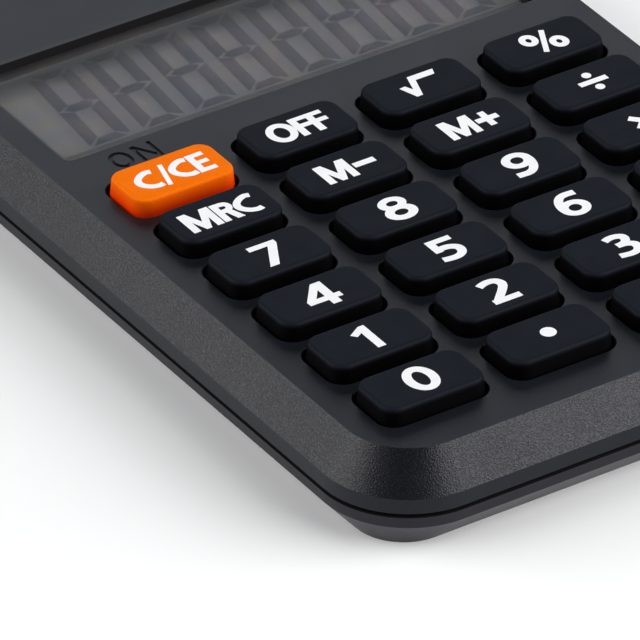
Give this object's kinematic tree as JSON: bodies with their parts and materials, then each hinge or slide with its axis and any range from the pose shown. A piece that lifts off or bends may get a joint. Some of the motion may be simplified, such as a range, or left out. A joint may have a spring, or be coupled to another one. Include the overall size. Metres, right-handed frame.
{
  "type": "pocket calculator",
  "caption": "Slim pocket calculator with a bevelled case, recessed display and solar windows, and sprung keys over a rubber mat and circuit board.",
  "frame": {"origin": "on the table, under the middle of the body", "axes": "+Z out of the keypad, +Y from the keys towards the display, +X to the user's right"},
  "size_m": [0.062, 0.098, 0.011],
  "materials": {
    "case_upper": "matte face, sand-textured bevel, satin lip",
    "case_lower": "satin moulded plastic",
    "key_black": "fine matte, moulded",
    "key_orange": "fine matte, moulded in orange",
    "legend_white": "printed ink",
    "silicone": "moulded silicone",
    "carbon": "conductive rubber",
    "board": "solder resist over laminate",
    "resin": "poured resin",
    "ceramic_parts": "fired ceramic",
    "resistor_parts": "fired ceramic",
    "clear_lens": "clear acrylic",
    "display_glass": "polarised display glass",
    "display_reflector": "diffuse reflector film",
    "zebra_rubber": "striped elastomer",
    "foam": "closed-cell foam",
    "solar_cell": "amorphous silicon on glass",
    "cell_steel": "nickel-plated steel",
    "contact_metal": "plated spring steel",
    "screw_steel": "blackened steel",
    "black_wire": "insulation",
    "red_wire": "insulation"
  },
  "bodies": {
    "body": {"upper_case": "case_upper", "lower_case": "case_lower", "key_mat": "silicone", "carbon_pills": "carbon", "circuit_board": "board", "controller": "resin", "board_capacitors": "ceramic_parts", "board_resistors": "resistor_parts", "display_window": "clear_lens", "display_front_glass": "display_glass", "display_rear_glass": "display_glass", "display_reflector": "display_reflector", "zebra_connector": "zebra_rubber", "display_foam": "foam", "solar_window": "clear_lens", "solar_cell": "solar_cell", "solar_foam": "foam", "button_cell": "cell_steel", "battery_contact_negative": "contact_metal", "battery_contact_positive": "contact_metal", "case_screws": "screw_steel", "board_screws": "screw_steel", "battery_lead_negative": "black_wire", "solar_lead_negative": "black_wire", "battery_lead_positive": "red_wire", "solar_lead_positive": "red_wire"},
    "key_clear": {"key_clear": "key_orange"},
    "key_off": {"key_off": "key_black"},
    "key_square_root": {"key_square_root": "key_black"},
    "key_percent": {"key_percent": "key_black"},
    "key_memory_recall": {"key_memory_recall": "key_black"},
    "key_memory_minus": {"key_memory_minus": "key_black"},
    "key_memory_plus": {"key_memory_plus": "key_black"},
    "key_divide": {"key_divide": "key_black"},
    "key_7": {"key_7": "key_black"},
    "key_8": {"key_8": "key_black"},
    "key_9": {"key_9": "key_black"},
    "key_multiply": {"key_multiply": "key_black"},
    "key_4": {"key_4": "key_black"},
    "key_5": {"key_5": "key_black"},
    "key_6": {"key_6": "key_black"},
    "key_minus": {"key_minus": "key_black"},
    "key_1": {"key_1": "key_black"},
    "key_2": {"key_2": "key_black"},
    "key_3": {"key_3": "key_black"},
    "key_plus": {"key_plus": "key_black"},
    "key_0": {"key_0": "key_black"},
    "key_point": {"key_point": "key_black"},
    "key_equals": {"key_equals": "key_black"}
  },
  "joints": [
    {"name": "key_clear_press", "type": "slide", "parent": "body", "child": "key_clear", "axis": [0, 0, -1], "range_m": [0, 0.0008], "stiffness_N_per_m": 200, "springref_m": -0.002, "deforming": ["key_mat"]},
    {"name": "key_off_press", "type": "slide", "parent": "body", "child": "key_off", "axis": [0, 0, -1], "range_m": [0, 0.0008], "stiffness_N_per_m": 200, "springref_m": -0.002, "deforming": ["key_mat"]},
    {"name": "key_square_root_press", "type": "slide", "parent": "body", "child": "key_square_root", "axis": [0, 0, -1], "range_m": [0, 0.0008], "stiffness_N_per_m": 200, "springref_m": -0.002, "deforming": ["key_mat"]},
    {"name": "key_percent_press", "type": "slide", "parent": "body", "child": "key_percent", "axis": [0, 0, -1], "range_m": [0, 0.0008], "stiffness_N_per_m": 200, "springref_m": -0.002, "deforming": ["key_mat"]},
    {"name": "key_memory_recall_press", "type": "slide", "parent": "body", "child": "key_memory_recall", "axis": [0, 0, -1], "range_m": [0, 0.0008], "stiffness_N_per_m": 200, "springref_m": -0.002, "deforming": ["key_mat"]},
    {"name": "key_memory_minus_press", "type": "slide", "parent": "body", "child": "key_memory_minus", "axis": [0, 0, -1], "range_m": [0, 0.0008], "stiffness_N_per_m": 200, "springref_m": -0.002, "deforming": ["key_mat"]},
    {"name": "key_memory_plus_press", "type": "slide", "parent": "body", "child": "key_memory_plus", "axis": [0, 0, -1], "range_m": [0, 0.0008], "stiffness_N_per_m": 200, "springref_m": -0.002, "deforming": ["key_mat"]},
    {"name": "key_divide_press", "type": "slide", "parent": "body", "child": "key_divide", "axis": [0, 0, -1], "range_m": [0, 0.0008], "stiffness_N_per_m": 200, "springref_m": -0.002, "deforming": ["key_mat"]},
    {"name": "key_7_press", "type": "slide", "parent": "body", "child": "key_7", "axis": [0, 0, -1], "range_m": [0, 0.0008], "stiffness_N_per_m": 200, "springref_m": -0.002, "deforming": ["key_mat"]},
    {"name": "key_8_press", "type": "slide", "parent": "body", "child": "key_8", "axis": [0, 0, -1], "range_m": [0, 0.0008], "stiffness_N_per_m": 200, "springref_m": -0.002, "deforming": ["key_mat"]},
    {"name": "key_9_press", "type": "slide", "parent": "body", "child": "key_9", "axis": [0, 0, -1], "range_m": [0, 0.0008], "stiffness_N_per_m": 200, "springref_m": -0.002, "deforming": ["key_mat"]},
    {"name": "key_multiply_press", "type": "slide", "parent": "body", "child": "key_multiply", "axis": [0, 0, -1], "range_m": [0, 0.0008], "stiffness_N_per_m": 200, "springref_m": -0.002, "deforming": ["key_mat"]},
    {"name": "key_4_press", "type": "slide", "parent": "body", "child": "key_4", "axis": [0, 0, -1], "range_m": [0, 0.0008], "stiffness_N_per_m": 200, "springref_m": -0.002, "deforming": ["key_mat"]},
    {"name": "key_5_press", "type": "slide", "parent": "body", "child": "key_5", "axis": [0, 0, -1], "range_m": [0, 0.0008], "stiffness_N_per_m": 200, "springref_m": -0.002, "deforming": ["key_mat"]},
    {"name": "key_6_press", "type": "slide", "parent": "body", "child": "key_6", "axis": [0, 0, -1], "range_m": [0, 0.0008], "stiffness_N_per_m": 200, "springref_m": -0.002, "deforming": ["key_mat"]},
    {"name": "key_minus_press", "type": "slide", "parent": "body", "child": "key_minus", "axis": [0, 0, -1], "range_m": [0, 0.0008], "stiffness_N_per_m": 200, "springref_m": -0.002, "deforming": ["key_mat"]},
    {"name": "key_1_press", "type": "slide", "parent": "body", "child": "key_1", "axis": [0, 0, -1], "range_m": [0, 0.0008], "stiffness_N_per_m": 200, "springref_m": -0.002, "deforming": ["key_mat"]},
    {"name": "key_2_press", "type": "slide", "parent": "body", "child": "key_2", "axis": [0, 0, -1], "range_m": [0, 0.0008], "stiffness_N_per_m": 200, "springref_m": -0.002, "deforming": ["key_mat"]},
    {"name": "key_3_press", "type": "slide", "parent": "body", "child": "key_3", "axis": [0, 0, -1], "range_m": [0, 0.0008], "stiffness_N_per_m": 200, "springref_m": -0.002, "deforming": ["key_mat"]},
    {"name": "key_plus_press", "type": "slide", "parent": "body", "child": "key_plus", "axis": [0, 0, -1], "range_m": [0, 0.0008], "stiffness_N_per_m": 200, "springref_m": -0.002, "deforming": ["key_mat"]},
    {"name": "key_0_press", "type": "slide", "parent": "body", "child": "key_0", "axis": [0, 0, -1], "range_m": [0, 0.0008], "stiffness_N_per_m": 200, "springref_m": -0.002, "deforming": ["key_mat"]},
    {"name": "key_point_press", "type": "slide", "parent": "body", "child": "key_point", "axis": [0, 0, -1], "range_m": [0, 0.0008], "stiffness_N_per_m": 200, "springref_m": -0.002, "deforming": ["key_mat"]},
    {"name": "key_equals_press", "type": "slide", "parent": "body", "child": "key_equals", "axis": [0, 0, -1], "range_m": [0, 0.0008], "stiffness_N_per_m": 200, "springref_m": -0.002, "deforming": ["key_mat"]}
  ]
}
